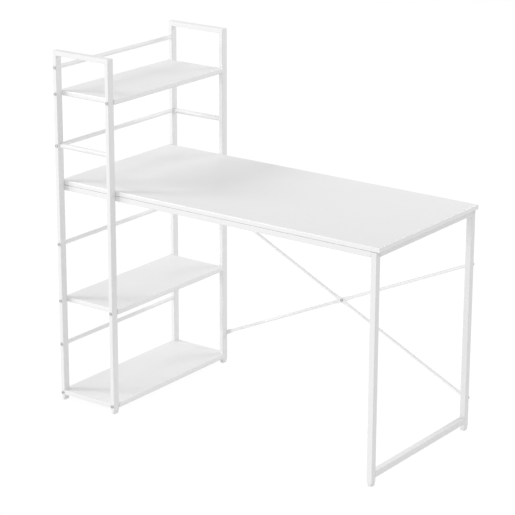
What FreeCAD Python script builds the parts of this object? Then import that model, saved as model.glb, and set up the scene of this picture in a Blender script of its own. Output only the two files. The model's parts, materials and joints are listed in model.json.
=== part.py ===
import FreeCAD, Part
import math
import os

# Computer desk with an open shelf tower: white boards on a frame of thin painted steel tube.
# The long side runs along X with the tower at the left, the sitter is at -Y and +Z is up.
# Places are worked out from the tower's left face, its front face and the floor. Each piece is
# then moved so that the origin is in the middle of the footprint, on the floor. Millimetres.

# Whole desk
desk_length = 1200.0
frame_depth = 600.0
desk_height = 740.0
tower_width = 225.0
tower_height = 1160.0

# Tubes: the tower's flat tube, the leg's square tube, the rails under the desktop, which are as deep
# as the leg's tube, and the thin round rails
tower_tube_width = 15.0
tower_tube_depth = 25.0
desk_tube = 20.0
desk_rail_height = 17.0
tube_wall = 1.2
tube_corner = 2.0
mid_rail_diameter = 16.0
side_rail_diameter = 14.0

# Boards
board_thickness = 16.0
shelf_overhang = 3.0
desktop_overhang = 9.0

# Levels, to a board's top face, a round rail's axis, a bar's underside or a brace bolt's axis.
# A height is from the floor, and a rise or a drop is from the top of what it names.
tower_to_top_rail_drop = 53.0
tower_to_top_shelf_drop = 129.0
desktop_to_mid_rail_rise = 116.0
desktop_to_middle_rail_drop = 208.0
desktop_to_brace_drop = 195.0
lower_shelf_height = 350.0
lower_shelf_to_low_rail_drop = 156.0
brace_low_height = 105.0
leg_bar_height = 25.0
bottom_bar_height = 20.0

# Bolts with a button head and a hexagon socket, all of one thread
bolt_diameter = 6.0
bolt_head_diameter = 11.0
bolt_head_height = 2.6
bolt_head_round = 1.6
bolt_socket_width = 4.0
bolt_socket_depth = 1.5
bolt_reach = 12.0
bolt_clearance = 0.25
bolt_past_nut = 1.0

# What the bolts screw into
insert_diameter = 9.0
insert_end_gap = 1.0
rail_plug_length = 15.0
nut_width = 10.0
nut_thickness = 5.0
end_plate_thickness = 1.5

# Screws that hold the desktop down
screw_diameter = 4.0
screw_head_diameter = 8.0
screw_head_height = 2.2
screw_head_round = 1.2
screw_slot_length = 4.5
screw_slot_width = 1.2
screw_slot_depth = 1.3
screw_reach = 10.0
screw_clearance = 0.25
rail_screw_shares = (0.08, 0.36, 0.64, 0.92)
leg_screw_shares = (0.25, 0.75)

# Cross brace
brace_diameter = 10.0
brace_flat_width = 14.0
brace_flat_thickness = 3.0
brace_flat_length = 22.0
brace_taper_length = 14.0
brace_crossing_length = 40.0
brace_head_diameter = 15.0
brace_head_height = 8.0
brace_head_round = 4.0

# Levelling feet
foot_height = 12.0
foot_inset = 0.3
foot_corner = 6.0
foot_round = 5.0
foot_top_round = 0.8
stud_diameter = 6.0
stud_in_foot = 7.0
stud_clearance = 0.3
stud_end_gap = 1.0
plug_clearance = 0.5

# How far a cut runs past what it cuts
overrun = 1.0

hexagon_sides = 6
full_turn = 360.0

along_x = FreeCAD.Vector(1, 0, 0)
along_y = FreeCAD.Vector(0, 1, 0)
along_z = FreeCAD.Vector(0, 0, 1)

# Places that the sizes give
left_x = tower_tube_width / 2
right_x = tower_width - left_x
front_y = tower_tube_depth
rear_y = frame_depth - tower_tube_depth
leg_right = desk_length - desktop_overhang
leg_left = leg_right - desk_tube
board_underside = desk_height - board_thickness
rail_underside = board_underside - desk_rail_height
rail_axis_height = board_underside - desk_rail_height / 2
bottom_shelf_height = bottom_bar_height + tower_tube_width
mid_rail_height = desk_height + desktop_to_mid_rail_rise
brace_high_height = desk_height - desktop_to_brace_drop
brace_heights = (brace_low_height, brace_high_height)
shelf_heights = {
    "top": tower_height - tower_to_top_shelf_drop,
    "lower": lower_shelf_height,
    "bottom": bottom_shelf_height,
}
side_rail_heights = {
    "top": tower_height - tower_to_top_rail_drop,
    "upper": mid_rail_height,
    "middle": desk_height - desktop_to_middle_rail_drop,
    "low": lower_shelf_height - lower_shelf_to_low_rail_drop,
}
shelf_bolt_heights = [top - board_thickness / 2 for top in shelf_heights.values()]
plug_top = min(shelf_bolt_heights) - bolt_diameter / 2 - bolt_clearance - plug_clearance
bolt_hole = bolt_diameter + bolt_clearance + bolt_clearance
insert_length = bolt_reach + insert_end_gap
screw_hole = screw_diameter + screw_clearance + screw_clearance
side_rail_bore = side_rail_diameter - tube_wall - tube_wall
front_rail_y = front_y + desk_tube / 2
rear_rail_y = rear_y - desk_tube / 2
leg_x = leg_right - desk_tube / 2

# The origin: the middle of the footprint, with the bolt heads that stand out
footprint_rear = frame_depth + brace_flat_thickness + brace_head_height
origin = FreeCAD.Vector(
    desk_length / 2,
    (footprint_rear - bolt_head_height) / 2,
    0,
)


def save(name, *shapes):
    """Writes one node: a single solid, or a group of separate ones."""
    shape = shapes[0] if len(shapes) == 1 else Part.makeCompound(list(shapes))
    moved = shape.copy()
    moved.translate(-origin)
    moved.exportStep(os.path.join("parts", name + ".step"))


def block(x, y, z):
    """A box from three (low, high) pairs."""
    corner = FreeCAD.Vector(x[0], y[0], z[0])
    return Part.makeBox(x[1] - x[0], y[1] - y[0], z[1] - z[0], corner)


def bar(x, y, z, axis, radius):
    """A box whose four edges along the axis are rounded."""
    solid = block(x, y, z)
    if radius <= 0:
        return solid
    edges = [e for e in solid.Edges if round(abs(e.tangentAt(e.FirstParameter).dot(axis)))]
    return solid.makeFillet(radius, edges)


def about(centre, width):
    """The (low, high) pair of a width about its centre."""
    return (centre - width / 2, centre + width / 2)


def shrunk(span, amount):
    """A (low, high) pair drawn in at both ends."""
    return (span[0] + amount, span[1] - amount)


def bore_of(x, y, z, axis):
    """The hollow of a tube, as a solid that runs the tube's length."""
    spans = [s if axis[i] else shrunk(s, tube_wall) for i, s in enumerate((x, y, z))]
    return bar(*spans, axis, tube_corner - tube_wall)


def tube(x, y, z, axis):
    """A tube with rounded corners, open at both ends."""
    long_spans = [shrunk(s, -overrun) if axis[i] else s for i, s in enumerate((x, y, z))]
    return bar(x, y, z, axis, tube_corner).cut(bore_of(*long_spans, axis))


def rod(start, axis, length, diameter):
    """A round bar from a point along an axis."""
    return Part.makeCylinder(diameter / 2, length, start, axis)


def through_hole(start, axis, length, diameter):
    """A cutter that runs past both ends of a hole."""
    return rod(start - axis * overrun, axis, length + overrun + overrun, diameter)


def round_tube(start, axis, length, diameter):
    """A thin round rail, open at both ends."""
    bore = through_hole(start, axis, length, diameter - tube_wall - tube_wall)
    return rod(start, axis, length, diameter).cut(bore)


def rim(solid, pick):
    """The lowest or highest round edge of a solid turned about Z."""
    return pick((e for e in solid.Edges if e.Closed), key=lambda e: e.CenterOfMass.z)


def end_edges(solid, pick):
    """The edges round the lowest or highest face of a solid."""
    return pick(solid.Faces, key=lambda f: f.CenterOfMass.z).Edges


def placed(shape, seat, direction):
    """Turns a shape made along +Z to a direction and moves it to its seat."""
    result = shape.copy()
    result.Placement = FreeCAD.Placement(seat, FreeCAD.Rotation(along_z, direction))
    return result


def hexagon(width, length):
    """A hexagon prism along +Z, with its width across the flats."""
    radius = width / 2 / math.cos(math.pi / hexagon_sides)
    corner = FreeCAD.Vector(radius, 0, 0)
    turns = [FreeCAD.Rotation(along_z, full_turn * i / hexagon_sides) for i in range(hexagon_sides)]
    corners = [turn.multVec(corner) for turn in turns]
    outline = Part.makePolygon(corners + corners[:1])
    return Part.Face(outline).extrude(along_z * length)


def bolt(seat, direction, length, head_diameter, head_height, head_round):
    """A button head on the seat, with its shank running in along the direction."""
    head = rod(FreeCAD.Vector(), -along_z, head_height, head_diameter)
    head = head.makeFillet(head_round, [rim(head, min)])
    socket = hexagon(bolt_socket_width, bolt_socket_depth + overrun)
    socket.translate(-along_z * (head_height + overrun))
    shank = rod(FreeCAD.Vector(), along_z, length, bolt_diameter)
    return placed(head.cut(socket).fuse(shank), seat, direction)


def frame_bolt(seat, direction, length):
    """The bolt used all over the frame."""
    return bolt(seat, direction, length, bolt_head_diameter, bolt_head_height, bolt_head_round)


def brace_bolt(seat, direction, length):
    """The bolt with a larger head that holds a brace rod's end."""
    return bolt(seat, direction, length, brace_head_diameter, brace_head_height, brace_head_round)


def sleeve(seat, direction, length, diameter):
    """A threaded insert or plug, with the bolt's bore right through."""
    body = rod(seat, direction, length, diameter)
    return body.cut(through_hole(seat, direction, length, bolt_diameter))


def weld_nut(seat, direction):
    """A square nut whose face lies on the seat and whose body runs in along the direction."""
    body = block(about(0, nut_width), about(0, nut_width), (0, nut_thickness))
    bore = through_hole(FreeCAD.Vector(), along_z, nut_thickness, bolt_diameter)
    return placed(body.cut(bore), seat, direction)


# Tower frames
front_frame = (0, tower_tube_depth)
rear_frame = (rear_y, frame_depth)
left_post = (0, tower_tube_width)
right_post = (tower_width - tower_tube_width, tower_width)
between_posts = (tower_tube_width, tower_width - tower_tube_width)


def mitre(y, at_left, above):
    """A wedge on one side of a top corner's 45 degree joint, over a frame's depth."""
    low = tower_height - tower_tube_width - overrun
    high = tower_height + overrun
    outer = -overrun
    inner = tower_tube_width + overrun
    third = (inner, high) if above else (outer, low)
    outline = [(outer, high), (inner, low), third]
    flat = [(x if at_left else tower_width - x, z) for x, z in outline]
    corners = [FreeCAD.Vector(x, y[0] - overrun, z) for x, z in flat]
    depth = y[1] - y[0] + overrun + overrun
    return Part.Face(Part.makePolygon(corners + corners[:1])).extrude(along_y * depth)


def post_holes(y, at_left, at_front):
    """The holes in one tower post: shelf and rail bolts, the desk rail's bolt, the brace's bolts."""
    x = left_x if at_left else right_x
    heights = shelf_bolt_heights + (list(side_rail_heights.values()) if at_left else [])
    cutters = [
        through_hole(FreeCAD.Vector(x, y[0], z), along_y, tower_tube_depth, bolt_hole) for z in heights
    ]
    inner_wall = y[1] - tube_wall if at_front else y[0]
    wall_hole = FreeCAD.Vector(x, inner_wall, rail_axis_height)
    cutters.append(through_hole(wall_hole, along_y, tube_wall, bolt_hole))
    if not at_left and not at_front:
        for z in brace_heights:
            rear_wall = FreeCAD.Vector(x, frame_depth - tube_wall, z)
            cutters.append(through_hole(rear_wall, along_y, tube_wall, bolt_hole))
    return cutters


def tower_post(at_left, at_front):
    """One upright, mitred at the top."""
    x = left_post if at_left else right_post
    y = front_frame if at_front else rear_frame
    upright = tube(x, y, (foot_height, tower_height), along_z)
    return upright.cut([mitre(y, at_left, True)] + post_holes(y, at_left, at_front))


def top_bar(y):
    """The bar across the top of a frame, mitred at both ends."""
    across = tube((0, tower_width), y, (tower_height - tower_tube_width, tower_height), along_x)
    return across.cut([mitre(y, True, False), mitre(y, False, False)])


def build_tower_frames():
    for place, y in (("front", front_frame), ("rear", rear_frame)):
        for side in ("left", "right"):
            save(f"post_{place}_{side}", tower_post(side == "left", place == "front"))
        save(f"top_bar_{place}", top_bar(y))
        middle = (y[0] + y[1]) / 2
        rail_start = FreeCAD.Vector(between_posts[0], middle, mid_rail_height)
        rail_length = between_posts[1] - between_posts[0]
        save(f"mid_rail_{place}", round_tube(rail_start, along_x, rail_length, mid_rail_diameter))
        bar_span = (bottom_bar_height, bottom_shelf_height)
        save(f"bottom_bar_{place}", tube(between_posts, y, bar_span, along_x))


# Shelves and side rails
board_length = rear_y - front_y
frame_ends = ((0, front_y, along_y), (frame_depth, rear_y, -along_y))


def build_shelves():
    bolts = []
    inserts = []
    for name, top in shelf_heights.items():
        board = block((0, tower_width + shelf_overhang), (front_y, rear_y), (top - board_thickness, top))
        sockets = []
        for x in (left_x, right_x):
            for face_y, inner_y, inward in frame_ends:
                axis_height = top - board_thickness / 2
                outside = FreeCAD.Vector(x, face_y, axis_height)
                inside = FreeCAD.Vector(x, inner_y, axis_height)
                bolts.append(frame_bolt(outside, inward, tower_tube_depth + bolt_reach))
                inserts.append(sleeve(inside, inward, insert_length, insert_diameter))
                sockets.append(rod(inside, inward, insert_length, insert_diameter))
        save(f"shelf_{name}", board.cut(sockets))
    save("shelf_bolts", *bolts)
    save("shelf_inserts", *inserts)


def build_side_rails():
    bolts = []
    plugs = []
    for name, height in side_rail_heights.items():
        start = FreeCAD.Vector(left_x, front_y, height)
        save(f"side_rail_{name}", round_tube(start, along_y, board_length, side_rail_diameter))
        for face_y, inner_y, inward in frame_ends:
            outside = FreeCAD.Vector(left_x, face_y, height)
            inside = FreeCAD.Vector(left_x, inner_y, height)
            bolts.append(frame_bolt(outside, inward, tower_tube_depth + bolt_reach))
            plugs.append(sleeve(inside, inward, rail_plug_length, side_rail_bore))
    save("side_rail_bolts", *bolts)
    save("side_rail_plugs", *plugs)


# Desktop and the frame under it
rail_left = end_plate_thickness
front_rail = (front_y, front_y + desk_tube)
rear_rail = (rear_y - desk_tube, rear_y)
rail_height = (rail_underside, board_underside)
leg_span = (leg_left, leg_right)
leg_bar_span = (front_rail[1], rear_rail[0])
leg_posts = {"front": front_rail, "rear": rear_rail}


def between(span, share):
    """The place at a share of the way along a (low, high) pair."""
    return span[0] + (span[1] - span[0]) * share


def desktop_screw_places():
    """Where the screws rise through the rails and the leg's top bar."""
    open_rail = (tower_width, leg_left)
    places = [
        (between(open_rail, share), y) for y in (front_rail_y, rear_rail_y) for share in rail_screw_shares
    ]
    return places + [(leg_x, between(leg_bar_span, share)) for share in leg_screw_shares]


def desktop_screw(x, y):
    """A pan-head screw, up through the tube into the board."""
    seat = FreeCAD.Vector(x, y, rail_underside)
    head = rod(seat, -along_z, screw_head_height, screw_head_diameter)
    head = head.makeFillet(screw_head_round, [rim(head, min)])
    head_bottom = rail_underside - screw_head_height
    slot_height = (head_bottom - overrun, head_bottom + screw_slot_depth)
    lengthways = block(about(x, screw_slot_length), about(y, screw_slot_width), slot_height)
    crossways = block(about(x, screw_slot_width), about(y, screw_slot_length), slot_height)
    shank = rod(seat, along_z, desk_rail_height + screw_reach, screw_diameter)
    return head.cut([lengthways, crossways]).fuse(shank)


def screw_cutter(x, y):
    """The clearance hole through a tube for one desktop screw."""
    return through_hole(FreeCAD.Vector(x, y, rail_underside), along_z, desk_rail_height, screw_hole)


def build_desktop():
    board = block((0, desk_length), (front_y, rear_y), (board_underside, desk_height))
    places = desktop_screw_places()
    pilots = [
        rod(FreeCAD.Vector(x, y, board_underside), along_z, screw_reach, screw_diameter) for x, y in places
    ]
    save("desktop", board.cut(pilots))
    save("desktop_screws", *[desktop_screw(x, y) for x, y in places])


def desk_rail(y, axis_y):
    """A rail under the board, from the tower's left face to the leg."""
    body = tube((rail_left, leg_left), y, rail_height, along_x)
    bolt_holes = [
        through_hole(FreeCAD.Vector(x, y[0], rail_axis_height), along_y, desk_tube, bolt_hole)
        for x in (left_x, right_x)
    ]
    screw_holes = [screw_cutter(x, place_y) for x, place_y in desktop_screw_places() if place_y == axis_y]
    return body.cut(bolt_holes + screw_holes)


def build_desk_rails():
    post_bolts = []
    post_nuts = []
    plates = []
    leg_bolts = []
    rail_plugs = []
    ends = (("front", front_rail, front_rail_y, -along_y), ("rear", rear_rail, rear_rail_y, along_y))
    for place, y, axis_y, outward in ends:
        save(f"desk_rail_{place}", desk_rail(y, axis_y))
        plates.append(bar((0, rail_left), y, rail_height, along_x, tube_corner))
        inner_face, post_face = (y[1], y[0]) if place == "front" else y
        for x in (left_x, right_x):
            length = desk_tube + tube_wall + nut_thickness + bolt_past_nut
            head_seat = FreeCAD.Vector(x, inner_face, rail_axis_height)
            nut_seat = FreeCAD.Vector(x, post_face, rail_axis_height) + outward * tube_wall
            post_bolts.append(frame_bolt(head_seat, outward, length))
            post_nuts.append(weld_nut(nut_seat, outward))
        plug = bore_of((leg_left - rail_plug_length, leg_left), y, rail_height, along_x)
        plug_start = FreeCAD.Vector(leg_left - rail_plug_length, axis_y, rail_axis_height)
        rail_plugs.append(plug.cut(through_hole(plug_start, along_x, rail_plug_length, bolt_diameter)))
        leg_seat = FreeCAD.Vector(leg_right, axis_y, rail_axis_height)
        leg_bolts.append(frame_bolt(leg_seat, -along_x, desk_tube + bolt_reach))
    save("desk_rail_end_plates", *plates)
    save("desk_rail_bolts", *post_bolts)
    save("desk_rail_nuts", *post_nuts)
    save("leg_bolts", *leg_bolts)
    save("desk_rail_plugs", *rail_plugs)


def leg_post(place, y):
    """One upright of the leg frame, with its rail bolt's hole and, at the rear, the brace's."""
    upright = tube(leg_span, y, (foot_height, board_underside), along_z)
    axis_y = (y[0] + y[1]) / 2
    rail_hole = FreeCAD.Vector(leg_left, axis_y, rail_axis_height)
    cutters = [through_hole(rail_hole, along_x, desk_tube, bolt_hole)]
    if place == "rear":
        for z in brace_heights:
            rear_wall = FreeCAD.Vector(leg_x, y[1] - tube_wall, z)
            cutters.append(through_hole(rear_wall, along_y, tube_wall, bolt_hole))
    return upright.cut(cutters)


def build_leg_frame():
    for place, y in leg_posts.items():
        save(f"leg_post_{place}", leg_post(place, y))
    cutters = [screw_cutter(leg_x, between(leg_bar_span, share)) for share in leg_screw_shares]
    save("leg_top_bar", tube(leg_span, leg_bar_span, rail_height, along_y).cut(cutters))
    low_span = (leg_bar_height, leg_bar_height + desk_tube)
    save("leg_bottom_bar", tube(leg_span, leg_bar_span, low_span, along_y))


# Cross brace behind the knee space: each rod runs from the tower's rear post to the leg's rear post
flat_half = brace_flat_thickness / 2
brace_tower_y = frame_depth + flat_half
brace_leg_y = rear_y + flat_half
brace_crossing_y = (brace_tower_y + brace_leg_y) / 2
brace_run = leg_x - right_x
brace_rise = brace_high_height - brace_low_height
brace_length = math.hypot(brace_run, brace_rise)
brace_slope = math.degrees(math.atan2(brace_rise, brace_run))


def round_section(x, y):
    """The rod's round section, square to its run."""
    circle = Part.Circle(FreeCAD.Vector(x, y, 0), along_x, brace_diameter / 2)
    return Part.Wire(circle.toShape())


def flat_section(x, y):
    """The rod's section where it is pressed flat."""
    centre = FreeCAD.Vector(x, y, 0)
    wide = centre + along_z * (brace_flat_width / 2)
    thin = centre - along_y * flat_half
    return Part.Wire(Part.Ellipse(wide, thin, centre).toShape())


def round_run(start, end, start_y, end_y):
    """A round stretch between two flats, tapered into both."""
    inner_start = start + brace_taper_length
    inner_end = end - brace_taper_length
    sections = [
        flat_section(start, start_y),
        round_section(inner_start, start_y),
        round_section(inner_end, end_y),
        flat_section(end, end_y),
    ]
    return Part.makeLoft(sections, True, True)


def flat(start, end, y):
    """A flat stretch of the rod."""
    return block((start, end), about(y, brace_flat_thickness), about(0, brace_flat_width))


def flat_disc(x, y, diameter, past):
    """A disc across the flat: the rod's rounded end, or the cutter for a bolt hole."""
    start = FreeCAD.Vector(x, y - flat_half - past, 0)
    return rod(start, along_y, brace_flat_thickness + past + past, diameter)


def brace_rod(start_height, rising, crossing_side):
    """One rod: a flat with a bolt hole at each end and one more where the rods cross."""
    middle = brace_length / 2
    crossing_half = brace_crossing_length / 2
    leg_y = brace_leg_y - brace_tower_y
    middle_y = brace_crossing_y - brace_tower_y + flat_half * crossing_side
    last = brace_length - brace_flat_length
    solid = flat(0, brace_flat_length, 0).fuse(
        [
            flat_disc(0, 0, brace_flat_width, 0),
            round_run(brace_flat_length, middle - crossing_half, 0, middle_y),
            flat(middle - crossing_half, middle + crossing_half, middle_y),
            round_run(middle + crossing_half, last, middle_y, leg_y),
            flat(last, brace_length, leg_y),
            flat_disc(brace_length, leg_y, brace_flat_width, 0),
        ]
    )
    hole_places = ((0, 0), (middle, middle_y), (brace_length, leg_y))
    holes = [flat_disc(x, y, bolt_hole, overrun) for x, y in hole_places]
    result = solid.cut(holes).removeSplitter()
    slope = -brace_slope if rising else brace_slope
    start = FreeCAD.Vector(right_x, brace_tower_y, start_height)
    result.Placement = FreeCAD.Placement(start, FreeCAD.Rotation(along_y, slope))
    return result


def build_brace():
    save("brace_rod_rising", brace_rod(brace_low_height, True, 1))
    save("brace_rod_falling", brace_rod(brace_high_height, False, -1))
    bolts = []
    nuts = []
    for x, face_y in ((right_x, frame_depth), (leg_x, rear_y)):
        for z in brace_heights:
            length = brace_flat_thickness + tube_wall + nut_thickness + bolt_past_nut
            seat = FreeCAD.Vector(x, face_y + brace_flat_thickness, z)
            bolts.append(brace_bolt(seat, -along_y, length))
            nuts.append(weld_nut(FreeCAD.Vector(x, face_y - tube_wall, z), -along_y))
    save("brace_end_bolts", *bolts)
    save("brace_end_nuts", *nuts)
    middle_x = (right_x + leg_x) / 2
    middle_z = (brace_low_height + brace_high_height) / 2
    crossing = FreeCAD.Vector(middle_x, brace_crossing_y, middle_z)
    length = brace_flat_thickness + brace_flat_thickness + nut_thickness + bolt_past_nut
    save("brace_crossing_bolt", frame_bolt(crossing - along_y * brace_flat_thickness, along_y, length))
    nut = hexagon(nut_width, nut_thickness)
    nut = nut.cut(through_hole(FreeCAD.Vector(), along_z, nut_thickness, bolt_diameter))
    save("brace_crossing_nut", placed(nut, crossing + along_y * brace_flat_thickness, along_y))


# Levelling feet
foot_places = {
    "front_left": (left_post, front_frame),
    "front_right": (right_post, front_frame),
    "rear_left": (left_post, rear_frame),
    "rear_right": (right_post, rear_frame),
    "leg_front": (leg_span, front_rail),
    "leg_rear": (leg_span, rear_rail),
}
stud_bore = stud_diameter + stud_clearance + stud_clearance


def foot_base(x, y):
    """The point on the floor under a post's axis."""
    return FreeCAD.Vector((x[0] + x[1]) / 2, (y[0] + y[1]) / 2, 0)


def foot_pad(x, y, base):
    """A plastic foot with the outline of its post, rounded underneath, with a socket for its stud."""
    body = bar(shrunk(x, foot_inset), shrunk(y, foot_inset), (0, foot_height), along_z, foot_corner)
    body = body.makeFillet(foot_top_round, end_edges(body, max))
    body = body.makeFillet(foot_round, end_edges(body, min))
    socket = base + along_z * (foot_height - stud_in_foot)
    return body.cut(rod(socket, along_z, stud_in_foot + overrun, stud_diameter))


def foot_stud(base):
    """The steel stud that screws up into the post's plug."""
    bottom = foot_height - stud_in_foot
    return rod(base + along_z * bottom, along_z, plug_top - stud_end_gap - bottom, stud_diameter)


def post_plug(x, y, base):
    """The threaded plug that fills the foot of a post."""
    body = bore_of(x, y, (foot_height, plug_top), along_z)
    start = base + along_z * foot_height
    return body.cut(through_hole(start, along_z, plug_top - foot_height, stud_bore))


def build_feet():
    tower_plugs = []
    leg_post_plugs = []
    for name, (x, y) in foot_places.items():
        base = foot_base(x, y)
        save(f"foot_{name}", foot_pad(x, y, base))
        save(f"foot_stud_{name}", foot_stud(base))
        plugs = leg_post_plugs if name.startswith("leg") else tower_plugs
        plugs.append(post_plug(x, y, base))
    save("tower_post_plugs", *tower_plugs)
    save("leg_post_plugs", *leg_post_plugs)


os.makedirs("parts", exist_ok=True)
build_tower_frames()
build_shelves()
build_side_rails()
build_desktop()
build_desk_rails()
build_leg_frame()
build_brace()
build_feet()
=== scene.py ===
import json
import math

import bmesh
import bpy
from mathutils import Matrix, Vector


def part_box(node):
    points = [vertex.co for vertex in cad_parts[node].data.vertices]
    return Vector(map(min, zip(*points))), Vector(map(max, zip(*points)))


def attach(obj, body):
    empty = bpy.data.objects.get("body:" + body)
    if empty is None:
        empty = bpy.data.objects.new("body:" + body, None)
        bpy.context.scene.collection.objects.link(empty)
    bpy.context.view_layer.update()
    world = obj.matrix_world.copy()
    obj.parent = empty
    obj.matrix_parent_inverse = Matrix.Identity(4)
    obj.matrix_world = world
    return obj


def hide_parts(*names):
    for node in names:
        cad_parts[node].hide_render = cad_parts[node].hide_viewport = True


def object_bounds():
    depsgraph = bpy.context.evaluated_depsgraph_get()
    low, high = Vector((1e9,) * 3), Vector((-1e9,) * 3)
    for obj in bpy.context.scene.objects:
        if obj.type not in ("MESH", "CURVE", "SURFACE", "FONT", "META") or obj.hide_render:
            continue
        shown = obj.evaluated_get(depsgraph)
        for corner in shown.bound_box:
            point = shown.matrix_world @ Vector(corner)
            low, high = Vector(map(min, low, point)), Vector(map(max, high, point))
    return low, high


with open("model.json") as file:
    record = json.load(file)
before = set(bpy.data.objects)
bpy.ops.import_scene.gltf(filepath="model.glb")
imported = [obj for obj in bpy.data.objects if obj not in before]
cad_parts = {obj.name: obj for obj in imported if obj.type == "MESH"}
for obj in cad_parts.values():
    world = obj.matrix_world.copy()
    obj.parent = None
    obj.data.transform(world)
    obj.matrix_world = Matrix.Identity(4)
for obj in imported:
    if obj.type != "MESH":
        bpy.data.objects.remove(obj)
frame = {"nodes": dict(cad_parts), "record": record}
cad_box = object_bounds()

# Sizes are in metres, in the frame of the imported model, unless a comment says otherwise.

# Camera, fitted to the photograph. The lens axis meets the picture at the centre pixel.
IMAGE_PIXELS = 515
FOCAL_PIXELS = 2050
CENTRE_PIXEL = (235, 238)
CAMERA_PLACE = (3.5883, -4.9455, 2.5031)
CAMERA_YAW = math.radians(36.869)
CAMERA_PITCH = math.radians(17.401)
SENSOR_MILLIMETRES = 36

# Lamps: power in watts, and the way from the object to the lamp
KEY_POWER = 230
KEY_SIZE = (2.2, 3.6)
KEY_DISTANCE = 10.0
KEY_FROM = (-0.668, -0.418, 0.616)
FILL_POWER = 890
FILL_SIZE = (4.0, 3.2)
FILL_DISTANCE = 20.0
FILL_FROM = (-0.60, -0.80, 0.09)
RIM_POWER = 26
RIM_SIZE = (1.5, 1.2)
RIM_DISTANCE = 3.5
RIM_FROM = (0.30, 0.77, 0.52)

# Studio: light from all round, the floor as the eye sees it, and the floor (a table) as light
WHITE = (1, 1, 1, 1)
AMBIENT = 0.635
FLOOR_SIZE = 60
FLOOR_GLOW = 0.915
FLOOR_SHADE = 0.12
TABLE_GLOW = 0.42
TABLE_WHITE = 0.45

# Nearly all values of a noise lie between these two
NOISE_LOW = 0.3
NOISE_HIGH = 0.7

# The thin round bars, by the start of their names, and their coat: a brighter copy of the white
# paint, as painted light
ROUND_BARS = ("side_rail_", "brace_rod_")
BAR_COAT_IOR = 1.6
BAR_COAT_METALLIC = 0.03

# Boards
BAND_THICKNESS = 0.0022
BAND_ARRIS = 0.0020
BAND_ARRIS_STEPS = 4
BAND_END_ROUND = 0.0001
# The edging stops this short of the underside, so a strip of the dark core shows as a painted shadow
# line
BAND_SHORT_FOR_SHADOW_LINE = 0.0008
CORE_ARRIS = 0.0002
ROUNDING_SEGMENTS = 2
ROUNDING_ANGLE = math.radians(50)

# Welds. A ripple spans a few rings, and an open bead narrows to a share of its radius at its ends.
BEAD_RADIUS = 0.0019
BEAD_SIDES = 10
BEAD_RING_STEP = 0.0006
BEAD_RIPPLE_RINGS = 4
BEAD_RIPPLE = 0.14
BEAD_END_SHARE = 0.4
BEAD_SINK = 0.45
RING_BEAD_STEPS = 72

# Threads of the levelling feet, M6 by 1. The profile gives shares of a turn and of the depth.
THREAD_PITCH = 0.0010
THREAD_DEPTH = 0.0006
THREAD_SIDES = 32
THREAD_PROFILE = ((0.0, 0.0), (0.10, 0.0), (0.45, 1.0), (0.62, 1.0))
THREAD_CHAMFER = 0.0010
THREAD_SPARE_TURNS = 1

# Points nearer than this are one point
SAME_POINT = 0.000001


def shader(name):
    """A new material and its nodes, with the object's own coordinates ready."""
    material = bpy.data.materials.new(name)
    material.use_nodes = True
    tree = material.node_tree
    surface = tree.nodes["Principled BSDF"]
    places = tree.nodes.new("ShaderNodeTexCoord").outputs["Object"]
    return material, tree, surface, places


def noise(tree, places, scale, detail):
    node = tree.nodes.new("ShaderNodeTexNoise")
    node.inputs["Scale"].default_value = scale
    node.inputs["Detail"].default_value = detail
    tree.links.new(places, node.inputs["Vector"])
    return node.outputs["Fac"]


def cells(tree, places, scale):
    """Small cells, each with a shade of its own."""
    node = tree.nodes.new("ShaderNodeTexVoronoi")
    node.inputs["Scale"].default_value = scale
    tree.links.new(places, node.inputs["Vector"])
    return node.outputs["Color"]


def stretched(tree, places, scale):
    node = tree.nodes.new("ShaderNodeMapping")
    node.inputs["Scale"].default_value = scale
    tree.links.new(places, node.inputs["Vector"])
    return node.outputs["Vector"]


def spread(tree, value, low=0, high=1):
    """The middle of a noise, stretched to the range from low to high."""
    node = tree.nodes.new("ShaderNodeMapRange")
    node.inputs["From Min"].default_value = NOISE_LOW
    node.inputs["From Max"].default_value = NOISE_HIGH
    node.inputs["To Min"].default_value = low
    node.inputs["To Max"].default_value = high
    tree.links.new(value, node.inputs["Value"])
    return node.outputs["Result"]


def tint(tree, value, low, high, socket):
    """Colours a socket between two shades."""
    node = tree.nodes.new("ShaderNodeMix")
    node.data_type = "RGBA"
    node.inputs["A"].default_value = (*low, 1)
    node.inputs["B"].default_value = (*high, 1)
    tree.links.new(value, node.inputs["Factor"])
    tree.links.new(node.outputs["Result"], socket)


def relief(tree, height, strength, depth, under=None):
    node = tree.nodes.new("ShaderNodeBump")
    node.inputs["Strength"].default_value = strength
    node.inputs["Distance"].default_value = depth
    tree.links.new(height, node.inputs["Height"])
    if under:
        tree.links.new(under, node.inputs["Normal"])
    return node.outputs["Normal"]


def join_textures(surface, tree, colour, shades, gloss, roughness, normal):
    """Joins the three textures of a material to its surface."""
    tint(tree, spread(tree, colour), *shades, surface.inputs["Base Color"])
    tree.links.new(spread(tree, gloss, *roughness), surface.inputs["Roughness"])
    tree.links.new(normal, surface.inputs["Normal"])


def powder_coat():
    """White baked powder coat: orange peel, with faint changes of thickness and gloss."""
    material, tree, surface, places = shader("white_powder_coat")
    peel = noise(tree, places, scale=850, detail=2)
    join_textures(surface, tree,
                  colour=noise(tree, places, scale=14, detail=3),
                  shades=((0.880, 0.881, 0.880), (0.890, 0.890, 0.889)),
                  gloss=noise(tree, places, scale=90, detail=3),
                  roughness=(0.36, 0.46),
                  normal=relief(tree, peel, strength=0.06, depth=0.0002))
    return material


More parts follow.
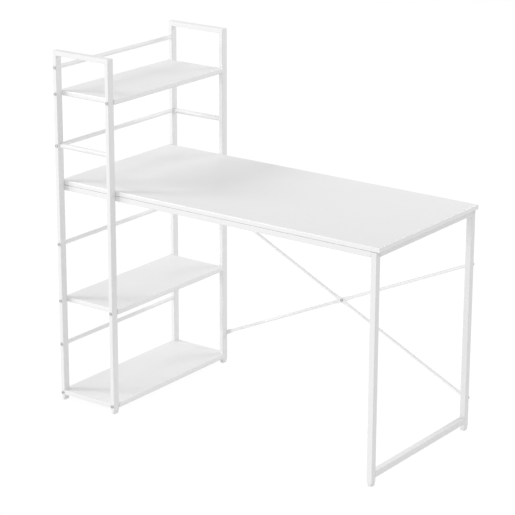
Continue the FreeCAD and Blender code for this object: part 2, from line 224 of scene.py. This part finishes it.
def bar_coat_painted_light():
    """The thin round bars: the tubes' white paint made brighter as painted light, with less orange
    peel.
    """
    material, tree, surface, places = shader("white_bar_coat_painted_light")
    surface.inputs["IOR"].default_value = BAR_COAT_IOR
    surface.inputs["Metallic"].default_value = BAR_COAT_METALLIC
    peel = noise(tree, places, scale=500, detail=2)
    join_textures(surface, tree,
                  colour=noise(tree, places, scale=30, detail=3),
                  # Brighter shades than the powder coat: painted light on the round bars
                  shades=((0.940, 0.941, 0.940), (0.952, 0.952, 0.951)),
                  gloss=noise(tree, places, scale=40, detail=2),
                  roughness=(0.44, 0.50),
                  normal=relief(tree, peel, strength=0.03, depth=0.0002))
    return material


def melamine():
    """White melamine face: a fine pressed grain along the board, and a faint mottle."""
    material, tree, surface, places = shader("white_melamine")
    along = stretched(tree, places, scale=(1, 9, 9))
    grain = noise(tree, along, scale=130, detail=3)
    pressed = relief(tree, grain, strength=0.03, depth=0.0002)
    pearl = noise(tree, places, scale=1500, detail=2)
    join_textures(surface, tree,
                  colour=noise(tree, along, scale=9, detail=4),
                  shades=((0.877, 0.878, 0.877), (0.888, 0.888, 0.887)),
                  gloss=noise(tree, places, scale=130, detail=3),
                  roughness=(0.40, 0.50),
                  normal=relief(tree, pearl, strength=0.05, depth=0.0001, under=pressed))
    return material


def edge_band():
    """White plastic edging: brighter and smoother than the face."""
    material, tree, surface, places = shader("white_edge_band")
    waves = noise(tree, places, scale=260, detail=2)
    join_textures(surface, tree,
                  colour=noise(tree, places, scale=25, detail=3),
                  shades=((0.914, 0.914, 0.913), (0.924, 0.924, 0.923)),
                  gloss=noise(tree, places, scale=45, detail=2),
                  roughness=(0.20, 0.26),
                  normal=relief(tree, waves, strength=0.03, depth=0.0002))
    return material


def shadow_line_core():
    """The raw edge of a board's core, where the edging stops short of the underside; its grey strip
    is a painted shadow line between board and rail.
    """
    material, tree, surface, places = shader("raw_core_shadow_line")
    crumbs = noise(tree, places, scale=900, detail=3)
    # Grey core shades: a painted shadow line where it shows below the edging
    join_textures(surface, tree,
                  colour=cells(tree, stretched(tree, places, scale=(1, 1, 3)), scale=420),
                  shades=((0.39, 0.37, 0.34), (0.54, 0.52, 0.49)),
                  gloss=noise(tree, places, scale=300, detail=3),
                  roughness=(0.75, 0.95),
                  normal=relief(tree, crumbs, strength=0.3, depth=0.0003))
    return material


def zinc():
    """Zinc plated steel: fine spangle, slightly uneven gloss."""
    material, tree, surface, places = shader("zinc_plate")
    surface.inputs["Metallic"].default_value = 1
    brushed = noise(tree, places, scale=2400, detail=2)
    join_textures(surface, tree,
                  colour=cells(tree, places, scale=1400),
                  shades=((0.49, 0.49, 0.49), (0.57, 0.57, 0.57)),
                  gloss=noise(tree, places, scale=700, detail=3),
                  roughness=(0.42, 0.56),
                  normal=relief(tree, brushed, strength=0.08, depth=0.0001))
    return material


def nylon():
    """White moulded nylon: dull, with a fine spark-eroded skin."""
    material, tree, surface, places = shader("white_nylon")
    skin = noise(tree, places, scale=1700, detail=2)
    join_textures(surface, tree,
                  colour=noise(tree, places, scale=70, detail=3),
                  shades=((0.842, 0.842, 0.836), (0.872, 0.872, 0.866)),
                  gloss=noise(tree, places, scale=400, detail=3),
                  roughness=(0.46, 0.58),
                  normal=relief(tree, skin, strength=0.06, depth=0.0001))
    return material


def seen_directly(tree):
    """1 where a ray comes from the camera, a mirror or glass, and 0 for scattered light."""
    rays = tree.nodes.new("ShaderNodeLightPath")
    total = rays.outputs["Is Camera Ray"]
    for kind in ("Is Glossy Ray", "Is Transmission Ray"):
        most = tree.nodes.new("ShaderNodeMath")
        most.operation = "MAXIMUM"
        tree.links.new(total, most.inputs[0])
        tree.links.new(rays.outputs[kind], most.inputs[1])
        total = most.outputs[0]
    return total


def backdrop():
    """White all round to the eye, a plain even level as light."""
    world = bpy.data.worlds.new("studio")
    bpy.context.scene.world = world
    world.use_nodes = True
    tree = world.node_tree
    level = tree.nodes.new("ShaderNodeMapRange")
    level.inputs["To Min"].default_value = AMBIENT
    level.inputs["To Max"].default_value = 1
    tree.links.new(seen_directly(tree), level.inputs["Value"])
    glow = tree.nodes["Background"]
    glow.inputs["Color"].default_value = WHITE
    tree.links.new(level.outputs["Result"], glow.inputs["Strength"])


def floor_finish():
    """A white sweep to the eye, with the object's soft shadow on it; a lit white table as light."""
    material = bpy.data.materials.new("studio_floor")
    material.use_nodes = True
    tree = material.node_tree
    matt = tree.nodes["Principled BSDF"]
    matt.inputs["Roughness"].default_value = 1
    matt.inputs["Specular IOR Level"].default_value = 0
    matt.inputs["Emission Color"].default_value = WHITE
    seen = seen_directly(tree)
    glow = tree.nodes.new("ShaderNodeMapRange")
    glow.inputs["To Min"].default_value = TABLE_GLOW
    glow.inputs["To Max"].default_value = FLOOR_GLOW
    tree.links.new(seen, glow.inputs["Value"])
    tree.links.new(glow.outputs["Result"], matt.inputs["Emission Strength"])
    tint(tree, seen, (TABLE_WHITE,) * 3, (FLOOR_SHADE,) * 3, matt.inputs["Base Color"])
    return material


def mesh_piece(name, points, faces, material, smooth=False):
    mesh = bpy.data.meshes.new(name)
    mesh.from_pydata([tuple(p) for p in points], [], faces)
    mesh.validate()
    if smooth:
        mesh.shade_smooth()
    else:
        mesh.shade_flat()
    mesh.materials.append(material)
    piece = bpy.data.objects.new(name, mesh)
    bpy.context.scene.collection.objects.link(piece)
    return piece


def close_up(piece):
    """Joins points that fall together, fills open ends and turns every face outward."""
    shell = bmesh.new()
    shell.from_mesh(piece.data)
    bmesh.ops.remove_doubles(shell, verts=shell.verts, dist=SAME_POINT)
    rims = [edge for edge in shell.edges if edge.is_boundary]
    bmesh.ops.holes_fill(shell, edges=rims, sides=0)
    bmesh.ops.recalc_face_normals(shell, faces=shell.faces)
    shell.to_mesh(piece.data)
    shell.free()
    return piece


def floor():
    half = FLOOR_SIZE / 2
    level = cad_box[0].z
    corners = [(x * half, y * half, level) for x, y in ((-1, -1), (1, -1), (1, 1), (-1, 1))]
    mesh_piece("floor", corners, [(0, 1, 2, 3)], floor_finish())


def lamp(name, power, size, source, distance):
    """A soft box that faces the object."""
    box = bpy.data.lights.new(name, "AREA")
    box.shape = "RECTANGLE"
    box.energy = power
    box.size, box.size_y = size
    way = Vector(source).normalized()
    holder = bpy.data.objects.new(name, box)
    holder.location = (cad_box[0] + cad_box[1]) / 2 + way * distance
    holder.rotation_mode = "QUATERNION"
    holder.rotation_quaternion = way.to_track_quat("Z", "Y")
    bpy.context.scene.collection.objects.link(holder)


def camera():
    lens = bpy.data.cameras.new("camera")
    lens.sensor_width = SENSOR_MILLIMETRES
    lens.lens = FOCAL_PIXELS / IMAGE_PIXELS * SENSOR_MILLIMETRES
    lens.shift_x = (IMAGE_PIXELS / 2 - CENTRE_PIXEL[0]) / IMAGE_PIXELS
    lens.shift_y = (CENTRE_PIXEL[1] - IMAGE_PIXELS / 2) / IMAGE_PIXELS
    holder = bpy.data.objects.new("camera", lens)
    holder.location = CAMERA_PLACE
    holder.rotation_euler = (math.pi / 2 - CAMERA_PITCH, 0, CAMERA_YAW)
    bpy.context.scene.collection.objects.link(holder)
    bpy.context.scene.camera = holder


def soften(piece, width):
    """Rounds the sharp edges a little."""
    rounding = piece.modifiers.new("arris", "BEVEL")
    rounding.width = width
    rounding.segments = ROUNDING_SEGMENTS
    rounding.limit_method = "ANGLE"
    rounding.angle_limit = ROUNDING_ANGLE
    return piece


def prism(name, outline, start, end, material):
    """Carries an outline, given as offsets, from one point to another."""
    count = len(outline)
    points = [start + offset for offset in outline] + [end + offset for offset in outline]
    faces = [(i, (i + 1) % count, count + (i + 1) % count, count + i) for i in range(count)]
    faces += [tuple(reversed(range(count))), tuple(range(count, 2 * count))]
    return close_up(mesh_piece(name, points, faces, material))


def band_outline(out, height):
    """Section of an edge band: flat against the core, its two outer arrises rounded."""
    up = Vector((0, 0, 1))
    corner_out = BAND_THICKNESS - BAND_ARRIS
    turns = [math.pi / 2 * step / BAND_ARRIS_STEPS for step in range(BAND_ARRIS_STEPS + 1)]
    outline = [Vector((0, 0, 0))]
    for turn in turns:
        reach = corner_out + BAND_ARRIS * math.sin(turn)
        outline.append(out * reach + up * BAND_ARRIS * (1 - math.cos(turn)))
    for turn in turns:
        reach = corner_out + BAND_ARRIS * math.cos(turn)
        outline.append(out * reach + up * (height - BAND_ARRIS * (1 - math.sin(turn))))
    outline.append(up * height)
    return outline


def board(node, face, raw_shadow_line, edging):
    """A faced board: its core, and a band of edging on each of its four sides that stops short of the
    underside, leaving a painted shadow line of dark core.
    """
    low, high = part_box(node)
    inset = Vector((BAND_THICKNESS, BAND_THICKNESS, 0))
    inner, outer = low + inset, high - inset
    corners = [Vector((inner.x, inner.y, 0)), Vector((outer.x, inner.y, 0)),
               Vector((outer.x, outer.y, 0)), Vector((inner.x, outer.y, 0))]
    levels = [Vector((0, 0, level)) for level in (low.z, high.z)]
    core = soften(prism(node + "_core", corners, *levels, face), CORE_ARRIS)
    # The core's four sides take the dark core finish; the strip of it below the edging is a painted
    # shadow line
    core.data.materials.append(raw_shadow_line)
    for edge in core.data.polygons[:len(corners)]:
        edge.material_index = 1
    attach(core, "desk")
    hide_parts(node)
    # Bands start this high, so the dark core below them shows as a painted shadow line
    band_bottom = low.z + BAND_SHORT_FOR_SHADOW_LINE
    runs = {
        "front": ((low.x, inner.y), (high.x, inner.y), (0, -1)),
        "right": ((outer.x, inner.y), (outer.x, outer.y), (1, 0)),
        "rear": ((high.x, outer.y), (low.x, outer.y), (0, 1)),
        "left": ((inner.x, outer.y), (inner.x, inner.y), (-1, 0)),
    }
    for side, (start, end, out) in runs.items():
        outline = band_outline(Vector((*out, 0)), high.z - band_bottom)
        ends = [Vector((*place, band_bottom)) for place in (start, end)]
        band = soften(prism(f"{node}_edge_{side}", outline, *ends, edging), BAND_END_ROUND)
        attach(band, "desk")


def bead(centres, side, closed):
    """A rippled weld bead along a line: points and faces. side stays square to the line."""
    points, faces = [], []
    count = len(centres)
    for i, centre in enumerate(centres):
        after = centres[(i + 1) % count] if closed else centres[min(i + 1, count - 1)]
        before = centres[i - 1] if closed else centres[max(i - 1, 0)]
        across = (after - before).normalized().cross(side)
        ripple = abs(math.sin(math.pi * i / BEAD_RIPPLE_RINGS))
        radius = BEAD_RADIUS * (1 - BEAD_RIPPLE * ripple)
        if not closed and i in (0, count - 1):
            radius = BEAD_RADIUS * BEAD_END_SHARE
        for k in range(BEAD_SIDES):
            turn = 2 * math.pi * k / BEAD_SIDES
            offset = side * radius * math.cos(turn) + across * radius * math.sin(turn)
            points.append(centre + offset)
    for i in range(count if closed else count - 1):
        here, there = i * BEAD_SIDES, (i + 1) % count * BEAD_SIDES
        for k in range(BEAD_SIDES):
            n = (k + 1) % BEAD_SIDES
            faces.append((here + k, here + n, there + n, there + k))
    if not closed:
        last = (count - 1) * BEAD_SIDES
        faces.append(tuple(reversed(range(BEAD_SIDES))))
        faces.append(tuple(range(last, last + BEAD_SIDES)))
    return points, faces


def corner_bead(start, end, away):
    """A bead in an inside corner, sunk into both faces. away points out of the corner."""
    start, end = Vector(start), Vector(end)
    lift = Vector(away) * BEAD_RADIUS * BEAD_SINK
    along = (end - start).normalized()
    start, end = start + along * BEAD_RADIUS, end - along * BEAD_RADIUS
    rings = round((end - start).length / BEAD_RING_STEP)
    centres = [start.lerp(end, i / rings) + lift for i in range(rings + 1)]
    return bead(centres, Vector(away).normalized(), False)


def ring_bead(centre, radius, out):
    """A bead round a tube that runs along X and meets a flat face. out points along the tube."""
    axis = Vector((out, 0, 0))
    middle = Vector(centre) + axis * BEAD_RADIUS * BEAD_SINK
    reach = radius + BEAD_RADIUS * BEAD_SINK
    centres = []
    for i in range(RING_BEAD_STEPS):
        turn = 2 * math.pi * i / RING_BEAD_STEPS
        centres.append(middle + Vector((0, math.cos(turn), math.sin(turn))) * reach)
    return bead(centres, axis, True)


def weld_piece(name, beads, paint):
    points, faces = [], []
    for bead_points, bead_faces in beads:
        first = len(points)
        points += bead_points
        faces += [tuple(first + k for k in face) for face in bead_faces]
    piece = mesh_piece(name, points, faces, paint, True)
    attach(piece, "desk")


def bar_corners(top, bottom):
    """Heights of the inside corners at a frame's top and bottom bar, and which way each opens."""
    return (top[0].z, -1), (bottom[0].z, -1), (bottom[1].z, 1)


def tower_frame_welds(side, paint):
    """Where the bars of one tower frame meet its posts."""
    left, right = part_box(f"post_{side}_left"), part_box(f"post_{side}_right")
    top, rail, bottom = (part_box(f"{kind}_{side}") for kind in ("top_bar", "mid_rail", "bottom_bar"))
    rail_middle, rail_radius = (rail[0] + rail[1]) / 2, (rail[1].z - rail[0].z) / 2
    front, back = left[0].y, left[1].y
    beads = []
    for face, out in ((left[1].x, 1), (right[0].x, -1)):
        beads.append(ring_bead((face, rail_middle.y, rail_middle.z), rail_radius, out))
        for level, way in bar_corners(top, bottom):
            start, end = (face, front, level), (face, back, level)
            beads.append(corner_bead(start, end, (out, 0, way)))
    weld_piece(f"tower_{side}_welds", beads, paint)


def leg_frame_welds(paint):
    """Where the two bars of the leg frame meet its posts."""
    top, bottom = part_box("leg_top_bar"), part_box("leg_bottom_bar")
    faces = ((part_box("leg_post_front")[1].y, 1), (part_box("leg_post_rear")[0].y, -1))
    beads = []
    for face, out in faces:
        for level, way in bar_corners(top, bottom):
            start, end = (top[0].x, face, level), (top[1].x, face, level)
            beads.append(corner_bead(start, end, (0, out, way)))
    weld_piece("leg_welds", beads, paint)


def thread_rows(low, high):
    """Turns up the thread and how deep it is cut there, with spare turns past both ends."""
    last_turn = math.ceil((high - low) / THREAD_PITCH) + THREAD_SPARE_TURNS
    turns = range(-THREAD_SPARE_TURNS, last_turn + 1)
    return [(turn + part, cut) for turn in turns for part, cut in THREAD_PROFILE]


def stud(place, steel):
    """The threaded stud of one foot, with a chamfer at both ends."""
    node = f"foot_stud_{place}"
    low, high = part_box(node)
    axis = (low + high) / 2
    radius = (high.x - low.x) / 2
    rows = thread_rows(low.z, high.z)
    points = []
    for turns, cut in rows:
        for k in range(THREAD_SIDES):
            turn = k / THREAD_SIDES
            height = low.z + (turns + turn) * THREAD_PITCH
            height = min(max(height, low.z), high.z)
            end = max(0, THREAD_CHAMFER - min(high.z - height, height - low.z))
            reach = min(radius - THREAD_DEPTH * cut, radius - end)
            angle = 2 * math.pi * turn
            x, y = axis.x + reach * math.cos(angle), axis.y + reach * math.sin(angle)
            points.append((x, y, height))
    faces = []
    per_turn = len(THREAD_PROFILE)
    for row in range(len(rows) - 1):
        for k in range(THREAD_SIDES):
            here = row * THREAD_SIDES + k
            if k < THREAD_SIDES - 1:
                faces.append((here, here + 1, here + 1 + THREAD_SIDES, here + THREAD_SIDES))
            elif row + per_turn + 1 < len(rows):
                over = (row + per_turn) * THREAD_SIDES
                faces.append((here, over, over + THREAD_SIDES, here + THREAD_SIDES))
    piece = close_up(mesh_piece(f"thread_{place}", points, faces, steel))
    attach(piece, f"levelling_foot_{place}")
    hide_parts(node)


def dress_nodes(finishes, painted_light_coat):
    """Gives every CAD node the finish of its slot, and the painted round bars their own brighter
    coat, which is painted light.
    """
    for part in frame["record"]["subparts"]:
        coat = finishes[part["material_slot"]]
        # The round bars take the brighter copy of the paint: painted light
        if part["material_slot"] == "white_paint" and part["node"].startswith(ROUND_BARS):
            coat = painted_light_coat
        for place in frame["nodes"][part["node"]].material_slots:
            place.material = coat


bpy.context.scene.view_settings.view_transform = "Standard"
finishes = {
    "white_paint": powder_coat(),
    "white_board": melamine(),
    "zinc_steel": zinc(),
    "white_plastic": nylon(),
}
# The dark core shows below the edging as a painted shadow line
raw_shadow_line, edging = shadow_line_core(), edge_band()
camera()
backdrop()
lamp("key", KEY_POWER, KEY_SIZE, KEY_FROM, KEY_DISTANCE)
lamp("fill", FILL_POWER, FILL_SIZE, FILL_FROM, FILL_DISTANCE)
lamp("rim", RIM_POWER, RIM_SIZE, RIM_FROM, RIM_DISTANCE)
floor()
# The round bars get a brighter copy of the white paint: painted light
dress_nodes(finishes, bar_coat_painted_light())
for node in ("desktop", "shelf_top", "shelf_lower", "shelf_bottom"):
    board(node, finishes["white_board"], raw_shadow_line, edging)
for side in ("front", "rear"):
    tower_frame_welds(side, finishes["white_paint"])
leg_frame_welds(finishes["white_paint"])
for place in ("front_left", "front_right", "rear_left", "rear_right", "leg_front", "leg_rear"):
    stud(place, finishes["zinc_steel"])
